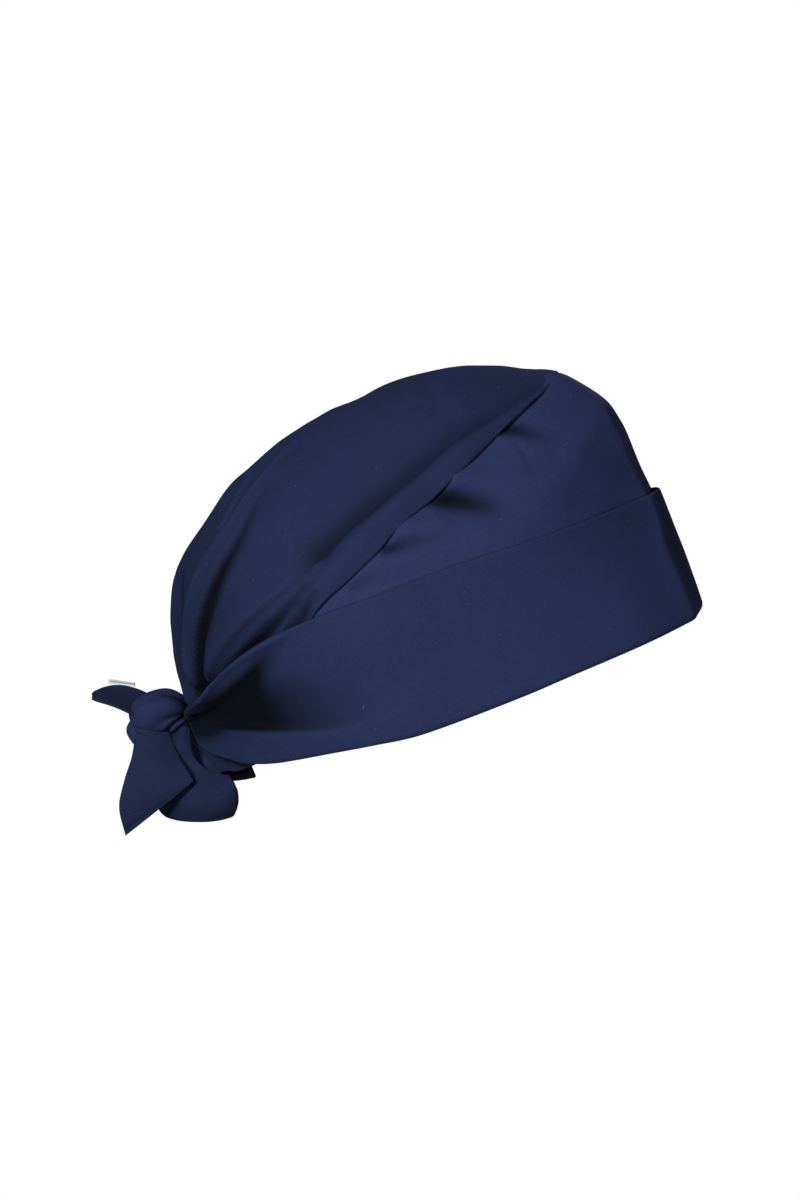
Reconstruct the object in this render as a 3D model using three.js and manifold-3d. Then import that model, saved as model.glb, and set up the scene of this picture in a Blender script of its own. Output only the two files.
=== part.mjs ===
// A surgeon's scrub cap in navy twill: a gathered crown, a front panel, a turned-up cuff whose
// two ends run back into a half-bow at the nape, and a short elastic under the knot.
// Millimetres. The cap is drawn level, as [across, forward, up] from the middle of the head
// opening, and then tipped back the way it is worn. Across is negative on the wearer's right.
import * as THREE from "three";
import { mergeVertices } from "three/addons/utils/BufferGeometryUtils.js";
import Module from "manifold-3d";

const wasm = await Module();
wasm.setup();

// ---- driving dimensions -------------------------------------------------------------------
const WEARING_TILT = 19.4; // degrees, front edge up
const HALF_WIDTH = 79; // of the cloth over the ears
const SQUARENESS = 2.25; // 2 is an oval head, more is boxier
const CLOTH = 1.2; // wall of one panel with its lining turned in
const CUFF_CLOTH = 1.6; // wall of the doubled turn-up
const CUFF_LIFT = 3; // outer face of the turn-up off the head form
const SEAM_UP = 73.5; // height of the crown seam over the ears
const SEAM_SLOPE = 0.464; // rise of that seam per millimetre forward
const SEAM_LAP = 5; // front panel tucked under the crown's edge
const LAP_DROP = 2.4; // how far it is set in there
const TIE_CLOTH = 1.4; // wall of the folded ties
const KNOT_GAP = 0.45; // clearance round the knot
const NAPE_GAP_ANGLE = 152; // degrees round from the front where the front panel stops
const ELASTIC = { startAngle: 153.5, bottom: -0.5, top: 21, setIn: 2, cloth: 1.6 };
const LABEL = { length: 10, width: 5, cloth: 0.8 };

// The head form cut down its middle plane: forward, up.
const FORM_CENTRE = { forward: 0, up: 30 };
const MIDDLE_PROFILE = [
  [0, -110], [58, -100], [88, -72], [97, -30], [100, 0], [99.8, 30], [98.9, 52], [97.4, 68],
  [96.2, 83], [94.4, 91], [89, 99], [80, 108.6], [69, 114], [58, 118.6], [39, 125.2], [22, 127],
  [0, 126], [-16, 124.6], [-30, 121.4], [-44, 116.8], [-60, 110], [-76, 98.3], [-86, 90],
  [-92, 83.3], [-96.5, 74.3], [-101, 60], [-102.8, 50], [-103.2, 40], [-103, 30], [-102, 15],
  [-100, 0], [-96, -30], [-86, -72], [-58, -100],
];

// The turn-up: degrees round from the front, top edge, bottom edge, extra lift off the form.
const CUFF_EDGES = [
  [0, 51.7, 2.6, 0],
  [33, 51.7, -0.4, 0],
  [55, 52, -1.6, 0],
  [80, 53, -3, 0],
  [104, 52, -3.6, 0],
  [117, 51.8, -1.6, 0],
  [129, 50.4, 0.8, 0.2],
  [137, 48.2, 2.4, 0.6],
  [143, 44.8, 3.6, 1],
  [150, 40, 5.4, 1.6],
  [157, 36, 9.8, 1.8],
  [167, 33, 14.4, 1],
  [176, 31, 17.5, 0],
];

// Folds run through four points [across, forward, up]. Width and height are given at the first
// and the last of them; a height below zero is a valley. "both" repeats it on the other side.
const CROWN_FOLDS = [
  {
    name: "valley above the seam tuck", sides: "both", width: [3.5, 5], height: [-0.8, -3],
    through: [[-24, 73, 107], [-57.6, 29, 98], [-69, -18, 80.3], [-50, -82, 52.5]],
  },
  {
    name: "seam tuck", sides: "both", width: [5, 7], height: [0.4, 1.3],
    through: [[-36, 64, 104], [-62, 28, 93], [-71, -3, 81], [-72, -36, 65]],
  },
  {
    name: "crease into the cuff", sides: "both", width: [3, 4], height: [-1, -2.2],
    through: [[-69.4, -44, 66], [-69, -50, 60], [-67, -58, 51.3], [-64, -66, 45]],
  },
  {
    name: "long gather", sides: "both", width: [4, 5], height: [0.3, 3.4],
    through: [[-30, -30, 116], [-37.5, -63, 97.5], [-36, -86, 76.5], [-29, -99, 42]],
  },
  {
    name: "deep valley beside it", sides: "both", width: [5, 6], height: [-0.6, -4.2],
    through: [[-42, -51, 101.6], [-49.9, -67, 82], [-45, -85, 62], [-37, -94, 43]],
  },
  {
    name: "short gather", sides: "right", width: [3, 3.5], height: [0.2, 0.8],
    through: [[-23.5, -48.5, 112], [-29, -55, 108], [-32, -61, 102], [-34.6, -67, 96]],
  },
  {
    name: "valley at the back", sides: "both", width: [3, 3.5], height: [-0.6, -3],
    through: [[-13, -90, 84], [-22, -92, 76], [-24, -97, 62], [-21, -101, 42]],
  },
  {
    name: "middle gather", sides: "both", width: [4, 5], height: [0.3, 2.4],
    through: [[-6, -82, 93], [-9, -95, 76], [-11, -101, 60], [-12, -103, 40]],
  },
];
const FRONT_FOLDS = [
  {
    name: "upper pull", sides: "both", width: [4, 5], height: [-2.4, -0.4],
    through: [[-50, 52.5, 97], [-50, 58.5, 94.5], [-49.5, 65, 90.4], [-47, 72, 86]],
  },
  {
    name: "middle pull", sides: "both", width: [5, 7], height: [-3, -0.5],
    through: [[-68, 18, 82], [-69, 26, 77], [-69, 36, 71], [-68, 44, 66]],
  },
  {
    name: "lower pull", sides: "both", width: [4, 4], height: [-1.4, -0.6],
    through: [[-74, -6, 69], [-74.4, 0, 68], [-74.4, 6, 67], [-74, 12, 65]],
  },
  {
    name: "shoulder of the forehead", sides: "both", width: [9, 10], height: [0.8, 1.6],
    through: [[-23, 87, 95], [-27.5, 90.5, 83.5], [-28, 91.6, 71], [-28.5, 93, 52]],
  },
];
const CUFF_FOLDS = [
  {
    name: "rolled top edge", sides: "both", width: [4, 5], height: [0.4, 3.4],
    through: [[-75, -40, 52], [-66, -65, 47], [-51, -86, 38], [-12, -103, 31]],
  },
  {
    name: "strip along the bottom", sides: "both", width: [5, 5], height: [0.2, 2.2],
    through: [[-78, -30, 6.5], [-68, -60, 10.5], [-49, -86, 20], [-12, -103, 25]],
  },
  {
    name: "forehead corner", sides: "both", width: [10, 10], height: [1.6, 1.6],
    through: [[-33, 93, 46], [-35.7, 91.6, 33], [-35.6, 92, 18], [-34, 93, 2]],
  },
];

// The knot: centre and half sizes across, along and over, and the slope of its long axis.
const KNOT_WRAP = { centre: [-1, -116, 33], half: [11, 12.5, 9.8], slope: -17 };
const KNOT_CORE = { centre: [0, -122, 27.5], half: [9.5, 9, 8], slope: -60 };

// Ties as rows of two edge points [across, forward, up], from the knot outwards.
const LOWER_END = [
  [[-8, -127, 29], [-7, -116, 27]],
  [[-12, -131.6, 21.3], [-12, -114.8, 16.5]],
  [[-15, -137.3, 13.6], [-15.6, -113.4, 10.4]],
  [[-16.6, -142.6, 4.5], [-17.4, -112.3, 5.4]],
  [[-15, -144.2, -6.9], [-17.6, -112.1, 4.4]],
];
const UPPER_END = [
  [[-6, -119, 35], [5, -116, 38]],
  [[-8, -124.5, 36], [6, -121, 44]],
  [[-9, -131, 42.2], [8, -130, 49.2]],
  [[-8, -137.6, 47.4], [6, -138, 49.8]],
  [[-5, -139.6, 48.8], [1, -139.6, 49.2]],
];
const LOOP = [
  [[-5, -108.5, 24], [-4, -106.8, 22.9]],
  [[-7, -112.5, 20.9], [-8, -108.8, 18]],
  [[-6, -120.5, 14], [-9.5, -108.8, 11.9]],
  [[-6.5, -128, 5.7], [-12.5, -105.3, 5.9]],
  [[-9, -127.2, -5.4], [-20, -100.7, 2.7]],
  [[-18, -113.1, -11.8], [-28, -97.1, 0.4]],
  [[-18, -101.4, -13.4], [-26, -96.6, -3.8]],
  [[-8, -108.2, -8.9], [-20, -97.5, 1.1]],
  [[-3, -115.8, -1.2], [-8, -101.1, 7.7]],
  [[0, -113.8, 11.9], [-1, -104.5, 14.2]],
  [[1, -110.7, 20.9], [2, -107.9, 20.3]],
];

const NAVY = 0x2d3858;
const DARK_NAVY = 0x252e4a;
const NEAR_BLACK = 0x14161f;
const PALE_GREY = 0xb9bcc4;

// ---- small tools --------------------------------------------------------------------------
const degrees = THREE.MathUtils.degToRad;
const mix = THREE.MathUtils.lerp;
const smooth = (value, from, to) => THREE.MathUtils.smoothstep(value, from, to);
const at = ([across, forward, up]) => new THREE.Vector3(across, -forward, up);

// A smooth curve through a table's rows: reads column `column` at a value of column 0.
function readTable(rows, key, column) {
  const slope = (i) => {
    const before = rows[Math.max(i - 1, 0)];
    const after = rows[Math.min(i + 1, rows.length - 1)];
    return (after[column] - before[column]) / (after[0] - before[0]);
  };
  let i = rows.findIndex((row) => row[0] > key) - 1;
  if (i < 0) i = key <= rows[0][0] ? 0 : rows.length - 2;
  const width = rows[i + 1][0] - rows[i][0];
  const t = THREE.MathUtils.clamp((key - rows[i][0]) / width, 0, 1);
  const start = (1 + 2 * t) * (1 - t) ** 2 * rows[i][column];
  const end = t * t * (3 - 2 * t) * rows[i + 1][column];
  const lean = t * (1 - t) * ((1 - t) * slope(i) - t * slope(i + 1)) * width;
  return start + lean + end;
}

// ---- the head form ------------------------------------------------------------------------
const PROFILE_RADII = MIDDLE_PROFILE.map(([forward, up]) => {
  const alongForward = forward - FORM_CENTRE.forward;
  const alongUp = up - FORM_CENTRE.up;
  return [Math.atan2(alongUp, alongForward), Math.hypot(alongForward, alongUp)];
}).sort((a, b) => a[0] - b[0]);
const TURN = 2 * Math.PI;
const RADIUS_TABLE = [
  ...PROFILE_RADII.slice(-2).map(([angle, radius]) => [angle - TURN, radius]),
  ...PROFILE_RADII,
  ...PROFILE_RADII.slice(0, 2).map(([angle, radius]) => [angle + TURN, radius]),
];

// How far a point is from the form's middle: 1 is on its surface.
function level(point) {
  const forward = -point.y - FORM_CENTRE.forward;
  const up = point.z - FORM_CENTRE.up;
  const radius = readTable(RADIUS_TABLE, Math.atan2(up, forward), 1);
  const narrowing = 1 - 0.1 * smooth(forward, -10, 105) - 0.03 * smooth(-forward, 40, 100);
  const around = Math.hypot(forward, up) / radius;
  const across = Math.abs(point.x) / (HALF_WIDTH * narrowing);
  return (around ** SQUARENESS + across ** SQUARENESS) ** (1 / SQUARENESS);
}

function onForm(start, direction) {
  let near = 0;
  let far = 220;
  for (let step = 0; step < 30; step++) {
    const middle = (near + far) / 2;
    if (level(start.clone().addScaledVector(direction, middle)) < 1) near = middle;
    else far = middle;
  }
  return start.clone().addScaledVector(direction, near);
}

function formNormal(point) {
  const reach = 0.4;
  const slopeAlong = (axis) => {
    const ahead = point.clone().addScaledVector(axis, reach);
    const behind = point.clone().addScaledVector(axis, -reach);
    return level(ahead) - level(behind);
  };
  return new THREE.Vector3(
    slopeAlong(new THREE.Vector3(1, 0, 0)),
    slopeAlong(new THREE.Vector3(0, 1, 0)),
    slopeAlong(new THREE.Vector3(0, 0, 1)),
  ).normalize();
}

// The form's surface at an angle round from the front and a height.
function aroundForm(angle, up) {
  const start = new THREE.Vector3(0, -FORM_CENTRE.forward, up);
  const turn = degrees(angle);
  const direction = new THREE.Vector3(-Math.sin(turn), -Math.cos(turn), 0);
  return onForm(start, direction);
}

// ---- folds --------------------------------------------------------------------------------
const FOLD_STEPS = 14;
const FOLD_NEAR = 9; // how far off the surface a fold's path still counts as on it
function tracedFolds(folds) {
  return folds.flatMap((fold) => {
    const sides = fold.sides === "both" ? [1, -1] : [1];
    return sides.map((side) => {
      const points = fold.through.map(([across, forward, up]) => at([across * side, forward, up]));
      const trace = new THREE.CatmullRomCurve3(points).getPoints(FOLD_STEPS);
      return { ...fold, trace, share: side === 1 ? 1 : 0.85 };
    });
  });
}

// Height of the cloth over the form at a point, from every fold that passes near it.
function foldHeight(folds, point, normal) {
  let total = 0;
  for (const fold of folds) {
    let nearest = Infinity;
    let along = 0;
    fold.trace.forEach((spot, i) => {
      const gap = point.clone().sub(spot);
      gap.addScaledVector(normal, -THREE.MathUtils.clamp(gap.dot(normal), -FOLD_NEAR, FOLD_NEAR));
      if (gap.length() < nearest) {
        nearest = gap.length();
        along = i / FOLD_STEPS;
      }
    });
    const width = mix(fold.width[0], fold.width[1], along);
    const height = mix(fold.height[0], fold.height[1], along);
    total += fold.share * height * Math.exp(-((nearest / width) ** 2));
  }
  return total;
}

// ---- making solids ------------------------------------------------------------------------
// A wall from a grid of [outer, inner] point pairs. Closed columns join the last to the first.
function wall(pairs, closedColumns = false) {
  const positions = [];
  const triangle = (a, b, c) => {
    if (a.distanceTo(b) < 1e-4 || b.distanceTo(c) < 1e-4 || a.distanceTo(c) < 1e-4) return;
    positions.push(...a.toArray(), ...b.toArray(), ...c.toArray());
  };
  const quad = (a, b, c, d) => {
    triangle(a, b, c);
    triangle(a, c, d);
  };
  const rows = pairs.length;
  const columns = pairs[0].length;
  const strips = closedColumns ? columns : columns - 1;
  const last = pairs[rows - 1];
  for (let j = 0; j < strips; j++) {
    const k = (j + 1) % columns;
    for (let i = 0; i + 1 < rows; i++) {
      quad(pairs[i][j][0], pairs[i + 1][j][0], pairs[i + 1][k][0], pairs[i][k][0]);
      quad(pairs[i][j][1], pairs[i][k][1], pairs[i + 1][k][1], pairs[i + 1][j][1]);
    }
    quad(pairs[0][j][1], pairs[0][j][0], pairs[0][k][0], pairs[0][k][1]);
    quad(last[j][0], last[j][1], last[k][1], last[k][0]);
  }
  if (!closedColumns) {
    for (let i = 0; i + 1 < rows; i++) {
      const first = [pairs[i][0], pairs[i + 1][0]];
      const end = [pairs[i][columns - 1], pairs[i + 1][columns - 1]];
      quad(first[0][0], first[0][1], first[1][1], first[1][0]);
      quad(end[0][1], end[0][0], end[1][0], end[1][1]);
    }
  }
  const geometry = new THREE.BufferGeometry();
  geometry.setAttribute("position", new THREE.Float32BufferAttribute(positions, 3));
  return facingOut(geometry);
}

function facingOut(geometry) {
  const merged = mergeVertices(geometry, 1e-3);
  const corner = (i) => new THREE.Vector3().fromBufferAttribute(merged.attributes.position, i);
  const index = merged.index.array;
  let volume = 0;
  for (let i = 0; i < index.length; i += 3) {
    volume += corner(index[i]).dot(corner(index[i + 1]).cross(corner(index[i + 2])));
  }
  if (volume < 0) {
    for (let i = 0; i < index.length; i += 3) {
      [index[i], index[i + 1]] = [index[i + 1], index[i]];
    }
  }
  return merged;
}

function asSolid(geometry) {
  const bare = geometry.clone().deleteAttribute("normal").deleteAttribute("uv");
  const merged = mergeVertices(bare, 1e-3);
  const vertProperties = new Float32Array(merged.attributes.position.array);
  const triVerts = new Uint32Array(merged.index.array);
  return new wasm.Manifold(new wasm.Mesh({ numProp: 3, vertProperties, triVerts }));
}

function without(geometry, tools) {
  let body = asSolid(geometry);
  for (const tool of tools) body = body.subtract(asSolid(tool));
  const pieces = body.decompose().sort((a, b) => b.volume() - a.volume());
  const mesh = pieces[0].getMesh();
  const result = new THREE.BufferGeometry();
  result.setAttribute("position", new THREE.BufferAttribute(mesh.vertProperties, 3));
  result.setIndex(new THREE.BufferAttribute(mesh.triVerts, 1));
  return result;
}

// A strip of cloth between two rows of edge points, bellied out by `belly` along its middle.
function ribbon(edges, cloth, belly, lengthSteps, widthSteps) {
  const left = new THREE.CatmullRomCurve3(edges.map((row) => at(row[0])), false, "centripetal");
  const right = new THREE.CatmullRomCurve3(edges.map((row) => at(row[1])), false, "centripetal");
  const spot = (u, v) => left.getPoint(u).lerp(right.getPoint(u), v);
  const facing = (u, v) => {
    const ahead = spot(Math.min(u + 0.01, 1), v).sub(spot(Math.max(u - 0.01, 0), v));
    const over = spot(u, 1).sub(spot(u, 0));
    return ahead.cross(over).normalize();
  };
  const pairs = [];
  for (let i = 0; i <= lengthSteps; i++) {
    const row = [];
    for (let j = 0; j <= widthSteps; j++) {
      const u = i / lengthSteps;
      const v = j / widthSteps;
      const normal = facing(u, v);
      const middle = spot(u, v).addScaledVector(normal, belly * Math.sin(Math.PI * v));
      const outer = middle.clone().addScaledVector(normal, cloth / 2);
      const inner = middle.clone().addScaledVector(normal, -cloth / 2);
      row.push([outer, inner]);
    }
    pairs.push(row);
  }
  return wall(pairs);
}

function lobe({ centre, half, slope }, grown = 0) {
  const ball = new THREE.SphereGeometry(1, 20, 12);
  ball.scale(half[0] + grown, half[1] + grown, half[2] + grown);
  ball.rotateX(degrees(-slope));
  const middle = at(centre);
  ball.translate(middle.x, middle.y, middle.z);
  return ball.deleteAttribute("normal").deleteAttribute("uv");
}

// ---- the pieces ---------------------------------------------------------------------------
const seamHeight = (forward) => SEAM_UP + SEAM_SLOPE * forward;
const seamAngle = Math.atan(SEAM_SLOPE);

function crownPanel(rings, spokes) {
  const folds = tracedFolds(CROWN_FOLDS);
  const middleForward = -11.75;
  const start = at([0, middleForward, seamHeight(middleForward)]);
  const alongSeam = at([0, Math.cos(seamAngle), Math.sin(seamAngle)]);
  const overSeam = at([0, -Math.sin(seamAngle), Math.cos(seamAngle)]);
  const across = new THREE.Vector3(1, 0, 0);
  const pairs = [];
  for (let i = 0; i <= rings; i++) {
    const lean = (Math.PI / 2) * (i / rings);
    const ring = [];
    for (let j = 0; j < spokes; j++) {
      const even = (j / spokes) * TURN;
      const turn = even + 0.35 * Math.sin(even); // spokes crowd together at the back
      const direction = overSeam.clone().multiplyScalar(Math.cos(lean));
      direction.addScaledVector(alongSeam, Math.sin(lean) * Math.cos(turn));
      direction.addScaledVector(across, Math.sin(lean) * Math.sin(turn));
      const point = onForm(start, direction);
      const normal = formNormal(point);
      const height = foldHeight(folds, point, normal);
      const outer = point.clone().addScaledVector(normal, height);
      const inner = point.clone().addScaledVector(normal, height - CLOTH);
      ring.push([outer, inner]);
    }
    pairs.push(ring);
  }
  return wall(pairs, true);
}

const cuffEdge = (angle, column) => readTable(CUFF_EDGES, Math.abs(angle), column);

function frontPanel(columns, rows) {
  const folds = tracedFolds(FRONT_FOLDS);
  const pairs = [];
  for (let j = 0; j <= columns; j++) {
    const angle = mix(-NAPE_GAP_ANGLE, NAPE_GAP_ANGLE, j / columns);
    const bottom = cuffEdge(angle, 2) + 2.8;
    const seamSpot = topOfFront(angle);
    const column = [];
    for (let i = 0; i <= rows; i++) {
      const up = mix(bottom, seamSpot, i / rows);
      const point = aroundForm(angle, up);
      const normal = formNormal(point);
      const overSeam = up - seamHeight(-point.y);
      const drop = LAP_DROP * smooth(overSeam, -9, -1);
      const height = foldHeight(folds, point, normal) - drop;
      const outer = point.clone().addScaledVector(normal, height);
      const inner = point.clone().addScaledVector(normal, height - CLOTH);
      column.push([outer, inner]);
    }
    pairs.push(column);
  }
  return wall(pairs);
}

// Height of the front panel's upper edge: past the seam where it shows, short of it at the nape.
function topOfFront(angle) {
  let up = 50;
  for (let step = 0; step < 25; step++) {
    const forward = -aroundForm(angle, up).y;
    const lap = mix(-3, SEAM_LAP, smooth(forward, -44, -30));
    up = mix(up, Math.max(seamHeight(forward) + lap, 12), 0.5);
  }
  return up;
}

function cuff(stations, rows) {
  const folds = tracedFolds(CUFF_FOLDS);
  const turnUnder = [ // outer lift, outer height, inner lift, inner height, from the bottom edge
    [CUFF_LIFT - 0.5, 0.4, CUFF_LIFT - CUFF_CLOTH - 0.4, 1.8],
    [CUFF_LIFT - 1.9, -0.2, CUFF_LIFT - 1.9, 1.5],
    [-0.6, 0, -0.4, 1.7],
    [-1.3, 0.9, -1.1, 2],
  ];
  const end = CUFF_EDGES[CUFF_EDGES.length - 1][0];
  const pairs = [];
  for (let j = 0; j <= stations; j++) {
    const share = (2 * j) / stations - 1;
    const angle = end * Math.sign(share) * (1 - (1 - Math.abs(share)) ** 1.15);
    const top = cuffEdge(angle, 1);
    const bottom = cuffEdge(angle, 2);
    const lift = cuffEdge(angle, 3);
    const station = [];
    for (let i = 0; i <= rows; i++) {
      const up = mix(top, bottom + 1.8, i / rows);
      const point = aroundForm(angle, up);
      const normal = formNormal(point);
      const height = lift + Math.max(foldHeight(folds, point, normal), 0);
      const outer = point.clone().addScaledVector(normal, CUFF_LIFT + height);
      const inner = outer.clone().addScaledVector(normal, -CUFF_CLOTH);
      station.push([outer, inner]);
    }
    const foot = aroundForm(angle, bottom);
    const footNormal = formNormal(foot);
    const footHeight = lift + Math.max(foldHeight(folds, foot, footNormal), 0);
    const spot = (offset, up) => {
      const place = foot.clone().addScaledVector(footNormal, offset + footHeight);
      return place.add(new THREE.Vector3(0, 0, up));
    };
    for (const [outerLift, outerUp, innerLift, innerUp] of turnUnder) {
      station.push([spot(outerLift, outerUp), spot(innerLift, innerUp)]);
    }
    pairs.push(station);
  }
  return wall(pairs);
}

function napeElastic(columns, rows) {
  const pairs = [];
  for (let j = 0; j <= columns; j++) {
    const angle = mix(ELASTIC.startAngle, 360 - ELASTIC.startAngle, j / columns);
    const column = [];
    for (let i = 0; i <= rows; i++) {
      const point = aroundForm(angle, mix(ELASTIC.bottom, ELASTIC.top, i / rows));
      const normal = formNormal(point);
      const outer = point.clone().addScaledVector(normal, -ELASTIC.setIn);
      const inner = outer.clone().addScaledVector(normal, -ELASTIC.cloth);
      column.push([outer, inner]);
    }
    pairs.push(column);
  }
  return wall(pairs);
}

function labelFlag() {
  const slab = new THREE.BoxGeometry(LABEL.width, LABEL.length, LABEL.cloth);
  slab.rotateY(degrees(-12));
  slab.rotateX(degrees(26));
  const middle = at([11, -127.5, 49]);
  return slab.translate(middle.x, middle.y, middle.z);
}

// ---- the assembly -------------------------------------------------------------------------
const cloth = (color) => new THREE.MeshStandardMaterial({ color, roughness: 0.92, metalness: 0 });
const cap = new THREE.Group();
cap.rotation.x = -degrees(WEARING_TILT);

function add(name, geometry, color) {
  geometry.computeVertexNormals();
  const mesh = new THREE.Mesh(geometry, cloth(color));
  mesh.name = name;
  cap.add(mesh);
}

const wrap = lobe(KNOT_WRAP);
const roundWrap = lobe(KNOT_WRAP, KNOT_GAP);
const roundCore = lobe(KNOT_CORE, KNOT_GAP);
const lowerEnd = ribbon(LOWER_END, TIE_CLOTH, 1.2, 10, 4);
const upperEnd = ribbon(UPPER_END, TIE_CLOTH, 0.8, 8, 4);
const loop = ribbon(LOOP, TIE_CLOTH, 1, 30, 4);

add("crown_panel", without(crownPanel(16, 60), [roundWrap]), NAVY);
add("front_panel", frontPanel(46, 7), NAVY);
add("cuff", without(cuff(56, 6), [roundWrap, roundCore]), NAVY);
add("nape_elastic", napeElastic(14, 3), NEAR_BLACK);
add("knot_wrap", wrap, DARK_NAVY);
add("knot_core", without(lobe(KNOT_CORE), [roundWrap]), DARK_NAVY);
add("tie_loop", without(loop, [roundWrap, roundCore]), DARK_NAVY);
add("tie_end_lower", without(lowerEnd, [roundWrap, roundCore]), DARK_NAVY);
add("tie_end_upper", without(upperEnd, [roundWrap, roundCore]), DARK_NAVY);
add("label", labelFlag(), PALE_GREY);

const scrubCap = new THREE.Group();
scrubCap.add(cap);
export default scrubCap;
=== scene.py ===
"""The looks of the navy scrub cap, built over its CAD pieces as an add-on with one operator a piece."""

import math

import bmesh
import bpy
import numpy as np
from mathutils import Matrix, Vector


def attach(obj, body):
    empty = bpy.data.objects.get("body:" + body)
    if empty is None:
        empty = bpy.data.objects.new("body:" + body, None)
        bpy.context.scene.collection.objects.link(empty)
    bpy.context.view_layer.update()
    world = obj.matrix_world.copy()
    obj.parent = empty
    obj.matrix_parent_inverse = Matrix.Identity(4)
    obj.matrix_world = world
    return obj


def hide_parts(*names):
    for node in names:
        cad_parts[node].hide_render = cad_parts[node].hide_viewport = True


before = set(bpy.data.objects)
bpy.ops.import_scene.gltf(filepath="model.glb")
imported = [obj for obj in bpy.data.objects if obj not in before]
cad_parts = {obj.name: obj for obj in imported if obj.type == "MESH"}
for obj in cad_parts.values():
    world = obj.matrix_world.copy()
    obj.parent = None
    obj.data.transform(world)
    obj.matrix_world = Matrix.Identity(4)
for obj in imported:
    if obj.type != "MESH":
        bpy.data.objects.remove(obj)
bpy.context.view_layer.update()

bl_info = {
    "name": "Scrub cap",
    "version": (1, 0, 0),
    "blender": (4, 5, 0),
    "location": "View3D > Sidebar > Scrub cap",
    "description": "Builds the cloth pieces, cloth finishes, light and camera of a tie-back scrub cap",
    "category": "Object",
}

MM = 0.001

# Everything below is drawn with the cap level, as [across, forward, up] in millimetres from the
# middle of the head opening, and tipped back at the end. Across is negative on the wearer's right.
WEARING_TILT = math.radians(19.4)
HALF_WIDTH = 79.0
SQUARENESS = 2.25
FORM_UP = 30.0
SEAM_UP = 73.5
SEAM_SLOPE = 0.464

# The head form cut down its middle plane: forward, up.
MIDDLE_PROFILE = [
    (0, -110), (58, -100), (88, -72), (97, -30), (100, 0), (99.8, 30), (98.9, 52), (97.4, 68),
    (96.2, 83), (94.4, 91), (89, 99), (80, 108.6), (69, 114), (58, 118.6), (39, 125.2), (22, 127),
    (0, 126), (-16, 124.6), (-30, 121.4), (-44, 116.8), (-60, 110), (-76, 98.3), (-86, 90),
    (-92, 83.3), (-96.5, 74.3), (-101, 60), (-102.8, 50), (-103.2, 40), (-103, 30), (-102, 15),
    (-100, 0), (-96, -30), (-86, -72), (-58, -100),
]

# The crown seam's rise above a straight line: forward, rise.
SEAM_BOW = [
    (-100, 0), (-60, 0), (-46, 0.4), (-36, 1.2), (-27, 0.8), (-12, 0.7), (1, 1.9), (15, 0.6),
    (30, 0.2), (44, 0), (53, -0.3), (60, -0.8), (70, -1.2), (78, -0.6), (84, 0),
]

# The turn-up: degrees round from the front, top edge, bottom edge, extra lift off the form.
CUFF_EDGES = [
    (0, 51.7, 2.6, 0), (33, 51.7, -0.4, 0), (55, 52, -1.6, 0), (80, 53, -3, 0),
    (104, 52, -3.6, 0), (117, 51.8, -1.6, 0), (129, 50.4, 0.8, 0.8), (137, 48.2, 2.4, 2),
    (143, 44.8, 3.8, 3), (150, 40, 6.4, 3.6), (157, 36, 11.2, 3.4), (167, 33, 15.4, 2),
    (176, 31, 18, 0.4),
]

# How much milder the folds and the seam's bow are on the wearer's left.
LEFT_FOLDS = 0.85
LEFT_BOW = 0.6

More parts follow.
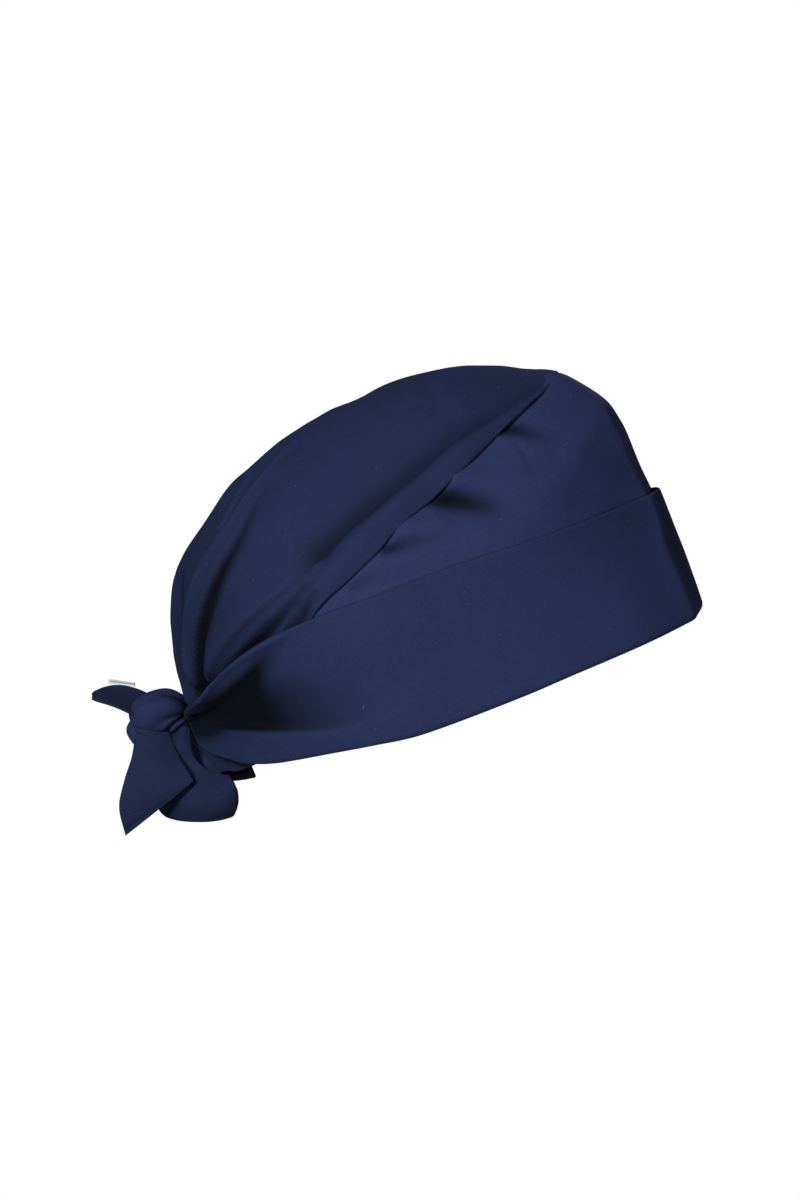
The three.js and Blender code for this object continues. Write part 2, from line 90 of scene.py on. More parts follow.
# Folds, with the columns name, sides, path, below, above, height and sharp. The path is the
# points that the crest runs through. Below and above are its width on either side, and height is
# its rise off the form, each at the path's first and last point. A height below zero is a
# valley. Sharp is 2 for a round crest and 1 for a crease.
CROWN_FOLDS = [
    ("valley over the tuck", "both", [(-30, 70, 106.6), (-45.5, 52, 102.7), (-57.6, 29, 98.2),
     (-65.7, 5, 89.2), (-69, -20, 80), (-70, -32, 74)], (2, 2), (8, 10), (-1.2, -2.4), 1.5),
    ("seam tuck", "both", [(-40, 64, 103), (-52, 46, 98.5), (-62, 28, 93), (-70, 0, 83),
     (-72.5, -25, 71), (-72, -42, 60)], (4, 7), (2.5, 5), (0.9, 2.2), 2),
    ("edge of the back panel", "both", [(-69, -24, 77), (-67.6, -45, 69), (-62.5, -62.7, 62.1),
     (-52.2, -79.8, 53.4), (-40, -92, 43)], (1.2, 1.6), (9, 9), (1, 3), 1.4),
    ("dark wedge under it", "both", [(-70.5, -42, 65.5), (-66.9, -54, 58), (-61, -66.5, 51.5),
     (-54.5, -77, 45), (-44, -88, 36)], (2.5, 6), (1.2, 3), (-1.2, -5), 2),
    ("crease into the cuff", "both", [(-69.6, -42, 67), (-69, -50, 60), (-67, -58, 51.3),
     (-64, -64, 46)], (1.2, 1.6), (2, 2), (1, 1.8), 1.3),
    ("hollow beside it", "both", [(-71.5, -40, 61), (-70.5, -47, 55), (-69, -54, 49)],
     (3, 3), (2, 3), (-1.6, -2.4), 2),
    ("long gather", "both", [(-24, -28, 118), (-30, -39, 111.5), (-36, -52, 104),
     (-38, -66, 95), (-37, -80, 83.5), (-35.5, -88, 72), (-31, -96, 56), (-31, -99, 36)],
     (1.2, 1.4), (2.6, 3), (1.4, 3.2), 1.2),
    ("deep valley beside it", "both", [(-40, -48, 104), (-44, -60, 94.5), (-44.5, -72, 83),
     (-42, -83, 70), (-38, -91, 58), (-35, -96, 44), (-33, -98, 34)], (7, 7), (1.4, 1.8),
     (-0.8, -6.5), 1.6),
    ("panel edge over that valley", "both", [(-47, -55, 95), (-49.9, -67, 82), (-49.5, -76, 70.6),
     (-45, -85, 61), (-40, -92, 48)], (6, 6), (1.2, 1.2), (0.3, 0.9), 1.5),
    ("short gather", "right", [(-23.5, -48.5, 112), (-29, -55, 108), (-32, -61, 102),
     (-34.6, -67, 96)], (1.2, 1.2), (3, 3), (1.2, 2), 1.2),
    ("valley at the back", "both", [(-17, -88, 86), (-23, -91, 77), (-26, -95, 66),
     (-24.5, -98.5, 57), (-25, -100.5, 46), (-28, -100, 38)], (4, 4), (1.4, 1.8),
     (-1, -6), 1.5),
    ("pleat between them", "both", [(-27, -86, 82), (-30, -91, 70), (-28, -97, 56),
     (-29.5, -99, 40)], (2, 2), (2, 2), (0.4, 1), 1.8),
    ("middle pleat", "right", [(-6, -80, 96), (-12, -91, 82), (-15, -99, 64), (-16, -102.5, 46),
     (-20, -103, 36)], (3.5, 4), (4, 4), (0.2, 3), 2),
    ("middle pleat on the left", "left", [(-3, -74, 100), (-10, -92, 80), (-11, -101, 60),
     (-14, -103, 38)], (3, 4), (4, 4), (0.2, 2.4), 1.8),
    ("valley down the middle", "right", [(0, -86, 90), (-3, -96, 76), (-3, -102, 58),
     (-8, -103, 38)], (3, 3), (2.5, 3), (-0.4, -1.4), 1.8),
    ("fine crease", "right", [(-50, -62, 83), (-51.5, -70, 75), (-49, -80, 64)], (1, 1),
     (1.4, 1.4), (0.5, 0.5), 1.3),
    ("faint pull over the top", "right", [(-34, 20, 119), (-44, -6, 112), (-50, -30, 103),
     (-52, -50, 93)], (6, 6), (9, 9), (0.7, 1), 2),
]
FRONT_FOLDS = [
    ("upper pull", "both", [(-51, 50, 97.5), (-50, 56, 95.3), (-49.6, 64, 91), (-47, 72, 86.3)],
     (2.2, 6), (4, 7), (-3.4, -0.4), 1.6),
    ("ridge under it", "both", [(-54, 47.5, 95), (-53.6, 54, 91), (-53, 62, 84), (-50, 71, 76)],
     (4, 8), (2, 6), (1.6, 0.3), 1.7),
    ("thin crease", "right", [(-55.7, 54, 89.5), (-57, 55.5, 85), (-58.7, 56.2, 80.5)], (1.4, 1.6),
     (1.2, 1.4), (-0.8, -0.2), 1.4),
    ("middle pull", "both", [(-68, 15, 83), (-69, 26, 77.4), (-68.7, 36.6, 71),
     (-67.8, 44, 66)], (3, 7), (5, 9), (-4.4, -0.4), 1.7),
    ("ridge over it", "both", [(-64, 26, 85), (-64.5, 36, 79.5), (-64, 46, 73)], (6, 9), (3, 5),
     (1.6, 0.3), 2),
    ("lit swelling", "both", [(-73, 2, 72.5), (-73, 8, 71), (-72.6, 14, 69)], (5, 5), (4, 5),
     (1.8, 1.2), 2),
    ("lower pull", "both", [(-74, -8, 69), (-74.4, -2, 68), (-74.4, 6, 67), (-74, 14, 64)],
     (2.2, 3.4), (3, 4), (-2.6, -0.5), 1.7),
    ("hollow by the cuff", "both", [(-74.5, -24, 59.5), (-75.4, -12, 59), (-75.4, 2, 57)],
     (4, 4), (4, 4), (-1.2, -0.4), 2),
    ("shoulder of the forehead", "both", [(-17, 78, 108), (-23, 87, 95), (-27.5, 90.5, 83.5),
     (-28, 91.6, 71), (-28.5, 93, 52), (-30, 93, 30)], (7, 8), (9, 11), (1.4, 3.2), 1.4),
]
STRIP_PATH = [
    (-78.2, -30.5, 8.8), (-75.8, -40.7, 8.9), (-72.7, -50, 9.7), (-68.1, -60, 12.7),
    (-60.5, -72.4, 17), (-49, -85.7, 22.2), (-36, -95.2, 25.6), (-18, -101.4, 26.8),
]
CUFF_FOLDS = [
    ("standing lip of the top edge", "both", [(-73, -44, 51.6), (-68, -60, 49.2),
     (-58, -76.8, 44.6), (-49.6, -85.8, 39.8), (-39, -93.5, 34.4), (-14, -102.5, 30)],
     (1.7, 1.7), (2.2, 2.6), (0.4, 4.6), 1.4),
    ("deep valley under the lip", "both", [(-68.6, -57, 46.4), (-64, -67.4, 42.6),
     (-59.4, -74.4, 38), (-52.4, -82.4, 33.4), (-43.6, -90, 30), (-33, -96.5, 28.4),
     (-18, -101.5, 28)], (5, 7), (2, 3.4), (-0.6, -7), 1.7),
    ("strip along the bottom", "both", STRIP_PATH, (9, 6), (0.9, 0.9), (0.2, 2), 1.7),
    ("crease over that strip", "both", STRIP_PATH, (0.9, 0.9), (8, 8), (-0.3, -3), 1.5),
    ("forehead corner", "both", [(-30, 93, 56), (-33, 92.7, 43), (-35.7, 91.6, 33),
     (-35.6, 92, 18), (-34, 93, 0)], (7, 8), (9, 11), (3.2, 3.2), 1.4),
    ("slack of the side", "both", [(-79, -14, 24), (-78.5, -30, 22), (-74, -46, 22),
     (-68, -60, 25), (-58, -75, 27)], (12, 12), (12, 9), (-0.3, -1.6), 2),
    ("dip towards the knot", "both", [(-72, -50, 36), (-64, -66, 34), (-52, -82, 29),
     (-38, -94, 27)], (12, 10), (13, 10), (-0.2, -1.4), 2),
]

# The knot's two lobes: centre, half sizes across, along and over, and the slope of the long axis
# in degrees. Their folds have the same columns as the others.
KNOT_WRAP = ((-1, -116, 33), (11, 12.8, 10), -17)
KNOT_CORE = ((0, -122.5, 27.5), (9.8, 9.6, 8.2), -60)
KNOT_ROUNDNESS = 0.94
WRAP_FOLDS = [
    ("upper side of the strap", "right", [(-8, -105, 29), (-11, -109, 28.1), (-12, -113.1, 25.8),
     (-10, -116.4, 23.8)], (0.9, 0.9), (0.9, 1.2), (-1.6, -1.6), 1.6),
    ("lower side of the strap", "right", [(-7, -105.4, 26.5), (-9, -108.9, 24.9),
     (-9, -112.6, 22.8), (-8, -115.4, 22.1)], (0.9, 0.9), (0.9, 0.9), (-1.6, -1.6), 1.6),
    ("lower edge", "right", [(-6, -127.5, 30), (-9, -123.9, 26.8), (-10, -119.8, 25),
     (-10, -116.6, 23.5)], (1.5, 1.5), (3, 2.4), (-1.4, -1.6), 1.6),
    ("shade behind the crown", "right", [(-5, -102, 32), (-7, -103, 35), (-8, -106, 38.8),
     (-8, -111, 41.2)], (3.5, 2), (3.5, 2), (-2, -1), 1.8),
    ("crease over the middle", "right", [(-9, -105, 29.9), (-12, -110, 31), (-13, -115.6, 30.6),
     (-12, -121, 28.6)], (1.4, 2), (1.6, 3), (-1.2, -0.6), 1.6),
    ("crest over the middle", "right", [(-7, -126, 35), (-10, -119, 37), (-10, -112, 37)],
     (2.5, 2.5), (4, 4), (1.2, 1.2), 2),
]
CORE_FOLDS = [
    ("crease", "right", [(-8, -129, 32), (-10, -126, 26), (-8, -120, 21)], (1.4, 1.4),
     (1.4, 1.4), (-0.8, -0.8), 1.6),
]

# Strips of cloth, each row with the columns one edge, other edge and belly, from the knot on.
LOWER_END = [
    ((-8, -127.5, 29), (-7, -115.5, 27), 1.5),
    ((-12, -131.6, 21.3), (-12, -114.8, 16.5), 1.6),
    ((-15, -137.3, 13.6), (-15.6, -113.4, 10.4), 1.2),
    ((-16.6, -142.6, 4.5), (-17.4, -112.3, 5.4), 0.8),
    ((-15, -144.2, -6.9), (-17.6, -112.1, 4.4), 0.6),
]
UPPER_END = [
    ((-6, -119, 35), (5, -116, 38), 1.6),
    ((-8, -124.5, 36), (6, -121, 44), 1.4),
    ((-9, -131, 42.2), (8, -130, 49.2), 1),
    ((-8, -137.6, 47.4), (6, -138, 49.8), 0.6),
    ((-5, -139.6, 48.8), (1, -139.6, 49.2), 0.4),
]
UNDER_LAYER = [
    ((-1, -105.5, 35), (-3, -109, 21), 0.3),
    ((-6, -102.6, 29), (-2, -106, 14), 0.3),
    ((-22, -99, 17.8), (-4, -103.6, 9.8), 0.3),
    ((-32.5, -95.6, 14.9), (-14, -101.3, 4.6), 0.3),
    ((-38.6, -92, 12.9), (-24.4, -97.3, 4.8), 0.3),
    ((-44.1, -87.8, 10.2), (-34.7, -92.7, 4), 0.3),
    ((-48.6, -83.6, 9), (-43.7, -86.9, 5), 0.3),
    ((-53, -79.3, 9), (-48.6, -82.9, 8), 0.3),
]
LOOP = [
    ((-6, -111.5, 26), (-5, -107, 24.5), 0.6),
    ((-8, -116, 20.5), (-9, -108.8, 18), 1),
    ((-6, -120.5, 14), (-9.5, -108.8, 11.9), 1),
    ((-6.5, -128, 5.7), (-12.5, -105.3, 5.9), 1.2),
    ((-9, -127.2, -5.4), (-20, -100.7, 3.6), 1.4),
    ((-18, -113.1, -11.8), (-28, -97.1, 0.4), 1.4),
    ((-18, -101.4, -13.4), (-26, -96.6, -3.8), 1),
    ((-8, -108.2, -8.9), (-20, -97.5, 1.1), -0.6),
    ((-3, -115.8, -1.2), (-8, -101.1, 7.7), -1),
    ((0, -113.8, 11.9), (-1, -104.5, 14.2), -0.6),
    ((1, -110.7, 20.9), (2, -107.9, 20.3), 0),
]


def smooth(value, start, end):
    """0 before start, 1 after end, and an easy curve between."""
    share = np.clip((np.asarray(value, float) - start) / (end - start), 0, 1)
    return share * share * (3 - 2 * share)


def through(rows, keys):
    """Smooth curves through a table's rows, read at keys of its first column."""
    table = np.array(rows, float)
    x, y = table[:, 0], table[:, 1:]
    keys = np.clip(np.asarray(keys, float), x[0], x[-1])
    slopes = np.empty_like(y)
    slopes[1:-1] = (y[2:] - y[:-2]) / (x[2:] - x[:-2])[:, None]
    slopes[0] = (y[1] - y[0]) / (x[1] - x[0])
    slopes[-1] = (y[-1] - y[-2]) / (x[-1] - x[-2])
    i = np.clip(np.searchsorted(x, keys, side="right") - 1, 0, len(x) - 2)
    width = (x[i + 1] - x[i])[..., None]
    t = ((keys - x[i])[..., None]) / width
    start = (1 + 2 * t) * (1 - t) ** 2 * y[i] + t * (1 - t) ** 2 * width * slopes[i]
    end = t * t * (3 - 2 * t) * y[i + 1] - t * t * (1 - t) * width * slopes[i + 1]
    return start + end


def unit(vectors):
    """Vectors scaled to length 1."""
    length = np.linalg.norm(vectors, axis=-1, keepdims=True)
    return vectors / np.maximum(length, 1e-9)


def radius_table():
    """The head form's radius by angle round its middle plane, repeated past both ends."""
    rows = sorted((math.atan2(up - FORM_UP, f), math.hypot(up - FORM_UP, f))
                  for f, up in MIDDLE_PROFILE)
    turn = 2 * math.pi
    before = [(angle - turn, radius) for angle, radius in rows[-2:]]
    after = [(angle + turn, radius) for angle, radius in rows[:2]]
    return before + rows + after


RADII = radius_table()


def level(points):
    """How far points are from the form's middle: 1 is on its surface."""
    across, forward, up = np.abs(points[..., 0]), points[..., 1], points[..., 2] - FORM_UP
    radius = through(RADII, np.arctan2(up, forward))[..., 0]
    narrowing = 1 - 0.1 * smooth(forward, -10, 105) - 0.03 * smooth(-forward, 40, 100)
    around = (np.hypot(forward, up) / radius) ** SQUARENESS
    sideways = (across / (HALF_WIDTH * narrowing)) ** SQUARENESS
    return (around + sideways) ** (1 / SQUARENESS)


def on_form(start, directions):
    """Where rays from start meet the form."""
    near = np.zeros(directions.shape[:-1])
    far = np.full(directions.shape[:-1], 220.0)
    for _ in range(26):
        middle = (near + far) / 2
        inside = level(start + directions * middle[..., None]) < 1
        near = np.where(inside, middle, near)
        far = np.where(inside, far, middle)
    return start + directions * near[..., None]


def form_normals(points, reach=0.4):
    """Outward directions of the form at points."""
    steps = np.eye(3) * reach
    return unit(np.stack([level(points + s) - level(points - s) for s in steps], -1))


def traced(points, steps=9):
    """A smooth line of spots through a few points."""
    rows = [(i, *p) for i, p in enumerate(points)]
    return through(rows, np.linspace(0, len(points) - 1, steps * (len(points) - 1) + 1))


def painted_shading_of(valleys, rises, deepest):
    """The cloth's painted shading: 1, full painted shade, in a valley as low as deepest, and as little
    as -0.5, a painted highlight, on a crest.
    """
    return smooth(-valleys, 0.2, deepest) - 0.5 * smooth(rises, 0.8, 5)


def fold_heights(folds, points, normals, deepest=3.2):
    """Height of the cloth off its form at points, and its painted shading: painted shade in the
    valleys, painted highlight on the crests.
    """
    total, valleys, rises = np.zeros((3, *points.shape[:-1]))
    for _, sides, spots, below, above, height, sharp in folds:
        for side in {"both": (1, -1), "right": (1,), "left": (-1,)}[sides]:
            path = traced([(p[0] * side, p[1], p[2]) for p in spots])
            share = 1 if side == 1 or sides == "left" else LEFT_FOLDS
            fold = share * one_fold(path, below, above, height, sharp, side, points, normals)
            total += fold
            valleys += np.minimum(fold, 0)
            rises += np.maximum(fold, 0)
    # The painted shading: shade painted into the valleys, highlight painted onto the crests.
    return total, painted_shading_of(valleys, rises, deepest)


def one_fold(path, below, above, height, sharp, side, points, normals):
    """Height of one fold at points: highest on its path, with its own width on each side."""
    nearest = np.full(points.shape[:-1], 1e9)
    along = np.zeros(points.shape[:-1])
    offside = np.zeros(points.shape[:-1])
    count = len(path) - 1
    for i in range(count):
        start, run = path[i], path[i + 1] - path[i]
        gap = points - start
        share = np.clip((gap @ run) / (run @ run), 0, 1)
        gap = gap - share[..., None] * run
        off = np.clip(np.sum(gap * normals, -1, keepdims=True), -9, 9)
        gap = gap - normals * off
        distance = np.linalg.norm(gap, axis=-1)
        closer = distance < nearest
        lean = np.sum(np.cross(np.broadcast_to(run, normals.shape), normals) * gap, -1)
        nearest = np.where(closer, distance, nearest)
        along = np.where(closer, (i + share) / count, along)
        offside = np.where(closer, lean * side, offside)
    width_below = below[0] + (below[1] - below[0]) * along
    width_above = above[0] + (above[1] - above[0]) * along
    width = np.where(offside > 0, width_below, width_above)
    top = height[0] + (height[1] - height[0]) * along
    return top * np.exp(-((nearest / width) ** sharp))


def ripple(points, size, depth, seed):
    """A gentle, even unevenness of cloth, a few waves of about that size added together."""
    draw = np.random.default_rng(seed)
    total = np.zeros(points.shape[:-1])
    for _ in range(9):
        direction = unit(draw.normal(size=3)) * (2 * math.pi / (size * draw.uniform(0.6, 1.6)))
        total += np.sin(points @ direction + draw.uniform(0, 2 * math.pi))
    return depth * total / 3


def laid(across, along, painted_shading):
    """The flat cloth's map with its painted shading, one row of three values a point."""
    return np.stack(np.broadcast_arrays(across, along, painted_shading), -1)


def tipped(points):
    """Points drawn level, turned into the cap's worn position, in metres."""
    sin, cos = math.sin(WEARING_TILT), math.cos(WEARING_TILT)
    across, forward, up = points[..., 0], points[..., 1], points[..., 2]
    return np.stack([across, up * sin - forward * cos, forward * sin + up * cos], -1) * MM


def grid_normals(grid, closed):
    """Directions square to a grid of points, from its own rows and columns."""
    along = np.gradient(grid, axis=0)
    if closed:
        over = (np.roll(grid, -1, 1) - np.roll(grid, 1, 1)) / 2
    else:
        over = np.gradient(grid, axis=1)
    return unit(np.cross(along, over))


def rounded_edge(outer, inner, outwards, steps=4):
    """Rows that carry a cloth edge round from its outer to its inner face."""
    middle, reach = (outer + inner) / 2, (outer - inner) / 2
    size = np.linalg.norm(reach, axis=-1, keepdims=True)
    rows = []
    for i in range(1, steps):
        angle = math.pi * i / steps
        rows.append(middle + reach * math.cos(angle) + outwards * size * math.sin(angle))
    return rows


def doubled(outer, inner, flat, first_edge, last_edge):
    """A closed run of rows: the outer face, round one edge, back along the inner face."""
    rows, lays = list(outer), list(flat)
    if last_edge:
        extra = rounded_edge(outer[-1], inner[-1], unit(outer[-1] - outer[-2]))
        rows += extra
        lays += [flat[-1]] * len(extra)
    rows += list(inner[::-1])
    lays += list(flat[::-1])
    if first_edge:
        extra = rounded_edge(inner[0], outer[0], unit(outer[0] - outer[1]))
        rows += extra
        lays += [flat[0]] * len(extra)
    return np.array(rows), np.array(lays)


def grid_faces(rows, columns, closed_rows, closed_columns):
    """The four-sided faces of a grid of points, which may close on itself either way."""
    index = np.arange(rows * columns).reshape(rows, columns)
    below = np.roll(index, -1, 0) if closed_rows else index[1:]
    here = index if closed_rows else index[:-1]
    if closed_columns:
        faces = np.stack([here, below, np.roll(below, -1, 1), np.roll(here, -1, 1)], -1)
    else:
        faces = np.stack([here[:, :-1], below[:, :-1], below[:, 1:], here[:, 1:]], -1)
    quads = [list(map(int, face)) for face in faces.reshape(-1, 4)]
    if not closed_columns and closed_rows:
        quads += end_faces(index[:, 0]) + end_faces(index[::-1, -1])
    return quads


def cloth_object(name, grid, flat, closed_rows, closed_columns):
    """A mesh from a grid of points drawn level, with the flat cloth's map and its painted shading."""
    quads = grid_faces(*grid.shape[:2], closed_rows, closed_columns)
    mesh = bpy.data.meshes.new(name)
    mesh.from_pydata(tipped(grid).reshape(-1, 3).tolist(), [], quads)
    lay = mesh.uv_layers.new(name="Cloth")
    corner = np.empty(len(mesh.loops), int)
    mesh.loops.foreach_get("vertex_index", corner)
    spots = flat.reshape(-1, 3).astype(np.float32)
    lay.data.foreach_set("uv", spots[corner, :2].ravel())
    # A point attribute of painted shade in valleys and painted highlight on crests, read by the twill.
    painted_shading = mesh.attributes.new("Painted shading", "FLOAT", "POINT")
    painted_shading.data.foreach_set("value", spots[:, 2].copy())
    clean_mesh(mesh)
    made = bpy.data.objects.new(name, mesh)
    bpy.context.collection.objects.link(made)
    return made


def end_faces(loop):
    """Faces that close the end of a flat tube of cloth."""
    count = len(loop) // 2
    faces = []
    for i in range(count - 1):
        a, b, c, d = loop[i], loop[i + 1], loop[-2 - i], loop[-1 - i]
        faces.append([int(v) for v in (a, d, c, b)])
    return faces


def clean_mesh(mesh):
    """Joins doubled points, turns every face outwards and shades them smooth."""
    work = bmesh.new()
    work.from_mesh(mesh)
    bmesh.ops.remove_doubles(work, verts=work.verts, dist=2e-6)
    bmesh.ops.recalc_face_normals(work, faces=work.faces)
    work.to_mesh(mesh)
    work.free()
    mesh.shade_smooth()


SEAM_LEAN = math.atan(SEAM_SLOPE)
POLE_FORWARD = -11.75
CROWN_WALL = 1.1
CROWN_RADIUS = 88
CROWN_UNDER_CUFF = 0.05
FRONT_WALL = 1.1
FRONT_ENDS = 151.5
FRONT_UNDER_CUFF = 2.8


def seam_rise(forward, side):
    """The seam's height at a place forward, with its bow, which is slacker on the left."""
    bow = through(SEAM_BOW, forward)[..., 0]
    return SEAM_UP + SEAM_SLOPE * forward + bow * np.where(side < 0, 1, LEFT_BOW)


def crown_grid(rings, spokes):
    """The crown's form by rings from its top to the seam, and the directions square to it."""
    start = np.array([0, POLE_FORWARD, SEAM_UP + SEAM_SLOPE * POLE_FORWARD])
    even = np.arange(spokes) / spokes * 2 * math.pi
    turn = even + 0.45 * np.sin(even)
    along = np.array([0, math.cos(SEAM_LEAN), math.sin(SEAM_LEAN)])
    over = np.array([0, -math.sin(SEAM_LEAN), math.cos(SEAM_LEAN)])
    across = np.array([1.0, 0, 0])
    flatwise = np.cos(turn)[:, None] * along + np.sin(turn)[:, None] * across
    rim = on_form(start, flatwise)
    bow = seam_rise(rim[:, 1], rim[:, 0]) - SEAM_UP - SEAM_SLOPE * rim[:, 1]
    reach = math.pi / 2 - bow * math.cos(SEAM_LEAN) / np.linalg.norm(rim - start, axis=-1)
    reach += CROWN_UNDER_CUFF * smooth(-rim[:, 1], 42, 50)
    share = np.linspace(0, 1, rings + 1)
    lean = (share[:, None] ** 0.92) * reach[None, :]
    directions = np.cos(lean)[..., None] * over + np.sin(lean)[..., None] * flatwise
    points = on_form(start, directions)
    return points, form_normals(points), lean * CROWN_RADIUS, turn


def crown_cloth():
    """The gathered crown, with the tuck along its seam edge standing over the front panel."""
    rings, spokes = ((112, 340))
    points, normals, reach, turn = crown_grid(rings, spokes)
    heights, painted_shading = fold_heights(CROWN_FOLDS, points, normals)
    # Painted shade: the crown is painted darker towards the back.
    painted_shading += 0.3 * smooth(-points[..., 1], 45, 95)
    flat = laid(reach * np.sin(turn), reach * np.cos(turn), painted_shading)
    heights += ripple(points, 26, 0.28, 3) + ripple(points, 9, 0.07, 4)
    inside_cuff = smooth(cuff_top(points) - points[..., 2], -1, 5)
    heights = np.where(heights > 0.4, heights + (0.4 - heights) * inside_cuff, heights)
    heights += 0.5 * smooth(points[..., 1], -70, 60)
    outer = points + normals * heights[..., None]
    inner = outer - normals * CROWN_WALL
    grid, lays = doubled(outer, inner, flat, False, True)
    return cloth_object("crown_cloth", grid, lays, False, True)


def round_angle(points):
    """Degrees round from the front, negative on the wearer's right."""
    return np.degrees(np.arctan2(points[..., 0], points[..., 1]))


def cuff_top(points):
    """Height of the cuff's top edge beside points."""
    return through(CUFF_EDGES, np.abs(round_angle(points)))[..., 0]


def around_form(angles, heights):
    """The form's surface at degrees round from the front and heights."""
    turn = np.radians(angles)
    start = np.stack([np.zeros_like(heights), np.zeros_like(heights), heights], -1)
    directions = np.stack([np.sin(turn), np.cos(turn), np.zeros_like(turn)], -1)
    return on_form(start, directions)


def front_cloth():
    """The front panel, from inside the cuff up to its tucked edge under the crown."""
    columns, rows = ((330, 64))
    angles = np.linspace(-FRONT_ENDS, FRONT_ENDS, columns + 1)
    bottom = through(CUFF_EDGES, np.abs(angles))[:, 1] + FRONT_UNDER_CUFF
    top = np.full_like(angles, 50.0)
    for _ in range(25):
        edge = around_form(angles, top)
        lap = -3 + 7.5 * smooth(edge[:, 1], -46, -36)
        rise = seam_rise(edge[:, 1], edge[:, 0]) + lap
        top = (top + np.maximum(rise, 12)) / 2
    share = np.linspace(0, 1, rows + 1)[:, None]
    heights = bottom + (top - bottom) * share
    spread = np.broadcast_to(angles, heights.shape)
    points = around_form(spread, heights)
    normals = form_normals(points)
    lift, painted_shading = fold_heights(FRONT_FOLDS, points, normals)
    flat = laid(spread * MM_A_DEGREE, heights, painted_shading)
    lift = lift + ripple(points, 24, 0.22, 7)
    over_seam = points[..., 2] - seam_rise(points[..., 1], points[..., 0])
    lift = np.where(lift < 0, lift * (0.3 + 0.7 * smooth(-over_seam, 1, 7)), lift)
    lift = lift - 0.5 * smooth(over_seam, -3, 0.5) - 0.5 * smooth(over_seam, 0, 4)
    outer = points + normals * lift[..., None]
    inner = outer - normals * FRONT_WALL
    grid, lays = doubled(outer, inner, flat, True, True)
    return cloth_object("front_panel_cloth", grid, lays, True, False)


MM_A_DEGREE = 1.5
CUFF_ENDS = 175.5
CUFF_OFF_FORM = 3
CUFF_LEAST = 0.9
CUFF_FLARE = 2.2
CUFF_WALL = 1.5
# The rolled edge: how far out and how far up the outer row and then the inner row lie.
CUFF_ROLL = [
    (2.75, 0.8, 1.3, 1.6), (2.3, 0.25, 1.1, 1.5), (1.5, -0.1, 0.9, 1.4), (0.6, -0.2, 0.5, 1.3),
    (-0.4, -0.05, -0.1, 1.5), (-1.1, 0.4, -0.6, 1.9), (-1.3, 1.2, -0.9, 2.2),
]


def cuff_cloth():
    """The turned-up cuff, rolled under at its bottom edge and gathered into the knot."""
    stations, rows = ((460, 56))
    share = np.linspace(-1, 1, stations + 1)
    angles = CUFF_ENDS * np.sign(share) * (1 - (1 - np.abs(share)) ** 1.2)
    edges = through(CUFF_EDGES, np.abs(angles))
    top, bottom, lift = edges[:, 0], edges[:, 1], edges[:, 2]
    down = np.linspace(0, 1, rows + 1)[:, None]
    heights = top + (bottom + 1.6 - top) * down
    spread = np.broadcast_to(angles, heights.shape)
    points = around_form(spread, heights)
    normals = form_normals(points)
    slack, painted_shading = fold_heights(CUFF_FOLDS, points, normals)
    flare = down * smooth(np.abs(spread), 8, 30) * smooth(-np.abs(spread), -110, -50)
    # Painted shade on the cuff towards the back, and painted light on the flared lower front.
    painted_shading += 0.15 * smooth(np.abs(spread), 105, 150) - 0.2 * flare
    lay = laid(spread * MM_A_DEGREE, heights, painted_shading)
    slack = slack * smooth(178.5 - np.abs(spread), 2.5, 12) + ripple(points, 30, 0.22, 11)
    slack += CUFF_FLARE * flare
    body = np.maximum(CUFF_OFF_FORM + lift + slack, CUFF_LEAST)
    outer = points + normals * body[..., None]
    inner = outer - normals * CUFF_WALL
    roll = turned_under(angles, bottom, body[-1])
    grid = np.concatenate([outer, roll[0], roll[1][::-1], inner[::-1]])
    last = np.repeat(lay[-1:], len(roll[0]) * 2, 0)
    flat = np.concatenate([lay, last, lay[::-1]])
    edge = rounded_edge(inner[0], outer[0], unit(outer[0] - outer[1]), 5)
    grid = np.concatenate([grid, np.array(edge)])
    flat = np.concatenate([flat, np.repeat(lay[:1], len(edge), 0)])
    return cloth_object("cuff_cloth", grid, flat, True, False)


def turned_under(angles, bottom, body):
    """The cuff's rolled bottom edge: its outer and its inner rows, as they turn inwards."""
    floor = around_form(angles, bottom)
    outwards = form_normals(floor)
    up = np.array([0, 0, 1.0])
    extra = (body - CUFF_OFF_FORM)[:, None]
    outer = []
    inner = []
    for lift, rise, inner_lift, inner_rise in CUFF_ROLL:
        outer.append(floor + outwards * (lift + extra) + up * rise)
        inner.append(floor + outwards * (inner_lift + extra) + up * inner_rise)
    return np.array(outer), np.array(inner)


ELASTIC_ENDS = (156.2, 203.8)
ELASTIC_HEIGHTS = (-0.4, 20.5)
ELASTIC_MM_A_DEGREE = 1.68
ELASTIC_RIB = 1.4
ELASTIC_RIB_RISE = 0.45
ELASTIC_INSIDE = 2.1
ELASTIC_WALL = 1.3


def elastic_band():
    """The nape elastic, with its upright ribs."""
    columns, rows = ((620, 22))
    angles = np.linspace(*ELASTIC_ENDS, columns + 1)
    heights = np.linspace(*ELASTIC_HEIGHTS, rows + 1)[:, None] + np.zeros(columns + 1)
    spread = np.broadcast_to(angles, heights.shape)
    points = around_form(spread, heights)
    normals = form_normals(points)
    length = spread * ELASTIC_MM_A_DEGREE
    ribs = ELASTIC_RIB_RISE * np.abs(np.sin(math.pi * length / ELASTIC_RIB))
    ribs += ripple(points, 14, 0.12, 5)
    outer = points + normals * (ribs - ELASTIC_INSIDE)[..., None]
    inner = outer - normals * ELASTIC_WALL
    grid, lays = doubled(outer, inner, laid(length, heights, 0), True, True)
    return cloth_object("elastic_band", grid, lays, True, False)


